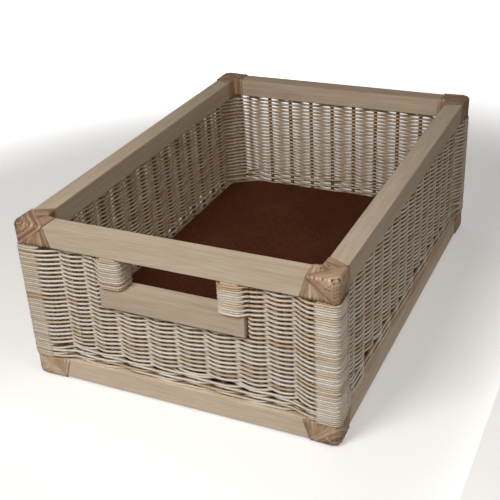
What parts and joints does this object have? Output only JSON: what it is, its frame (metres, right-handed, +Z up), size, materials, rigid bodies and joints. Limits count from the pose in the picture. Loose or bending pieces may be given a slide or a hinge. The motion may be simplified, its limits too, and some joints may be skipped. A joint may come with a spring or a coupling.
{
  "type": "wicker pet bed basket",
  "caption": "Low rectangular pet bed basket with a square wooden frame, woven rattan walls, a grip slot over a wooden handle bar, tan corner bindings and a thin brown mat.",
  "frame": {"origin": "middle of the footprint, on the floor", "axes": "+X to the right when facing the handle side, +Y along the length away from the handle, +Z up"},
  "size_m": [0.426, 0.606, 0.228],
  "materials": {
    "pine": "bare pale pine, planed, matt",
    "rattan_core": "bare round rattan core, matt, tone varies from strand to strand",
    "rattan_skin": "flat tan rattan skin, slight sheen",
    "plywood": "bare plywood",
    "dowel_wood": "bare beech",
    "fastener_steel": "zinc plated",
    "brown_felt": "dark reddish brown brushed fabric"
  },
  "bodies": {
    "frame": {"base_board": "plywood", "base_nails": "fastener_steel", "bottom_rail_back": "pine", "bottom_rail_front": "pine", "bottom_rail_left": "pine", "bottom_rail_right": "pine", "corner_binding_bottom_back_left": "rattan_skin", "corner_binding_bottom_back_right": "rattan_skin", "corner_binding_bottom_front_left": "rattan_skin", "corner_binding_bottom_front_right": "rattan_skin", "corner_binding_top_back_left": "rattan_skin", "corner_binding_top_back_right": "rattan_skin", "corner_binding_top_front_left": "rattan_skin", "corner_binding_top_front_right": "rattan_skin", "corner_post_back_left": "pine", "corner_post_back_right": "pine", "corner_post_front_left": "pine", "corner_post_front_right": "pine", "corner_screws": "fastener_steel", "corner_wrap_back_left": "rattan_core", "corner_wrap_back_right": "rattan_core", "corner_wrap_front_left": "rattan_core", "corner_wrap_front_right": "rattan_core", "handle_bar": "pine", "handle_dowels": "dowel_wood", "handle_post_left": "pine", "handle_post_right": "pine", "handle_wrap_left": "rattan_core", "handle_wrap_right": "rattan_core", "stakes_back": "rattan_core", "stakes_front_long": "rattan_core", "stakes_front_short": "rattan_core", "stakes_left": "rattan_core", "stakes_right": "rattan_core", "top_rail_back": "pine", "top_rail_front": "pine", "top_rail_left": "pine", "top_rail_right": "pine", "weave_back": "rattan_core", "weave_front": "rattan_core", "weave_left": "rattan_core", "weave_right": "rattan_core"},
    "mat": {"mat": "brown_felt"}
  },
  "joints": [
    {"name": "mat_lift", "type": "slide", "parent": "frame", "child": "mat", "axis": [0, 0, 1], "range_m": [0, 0.25]}
  ]
}
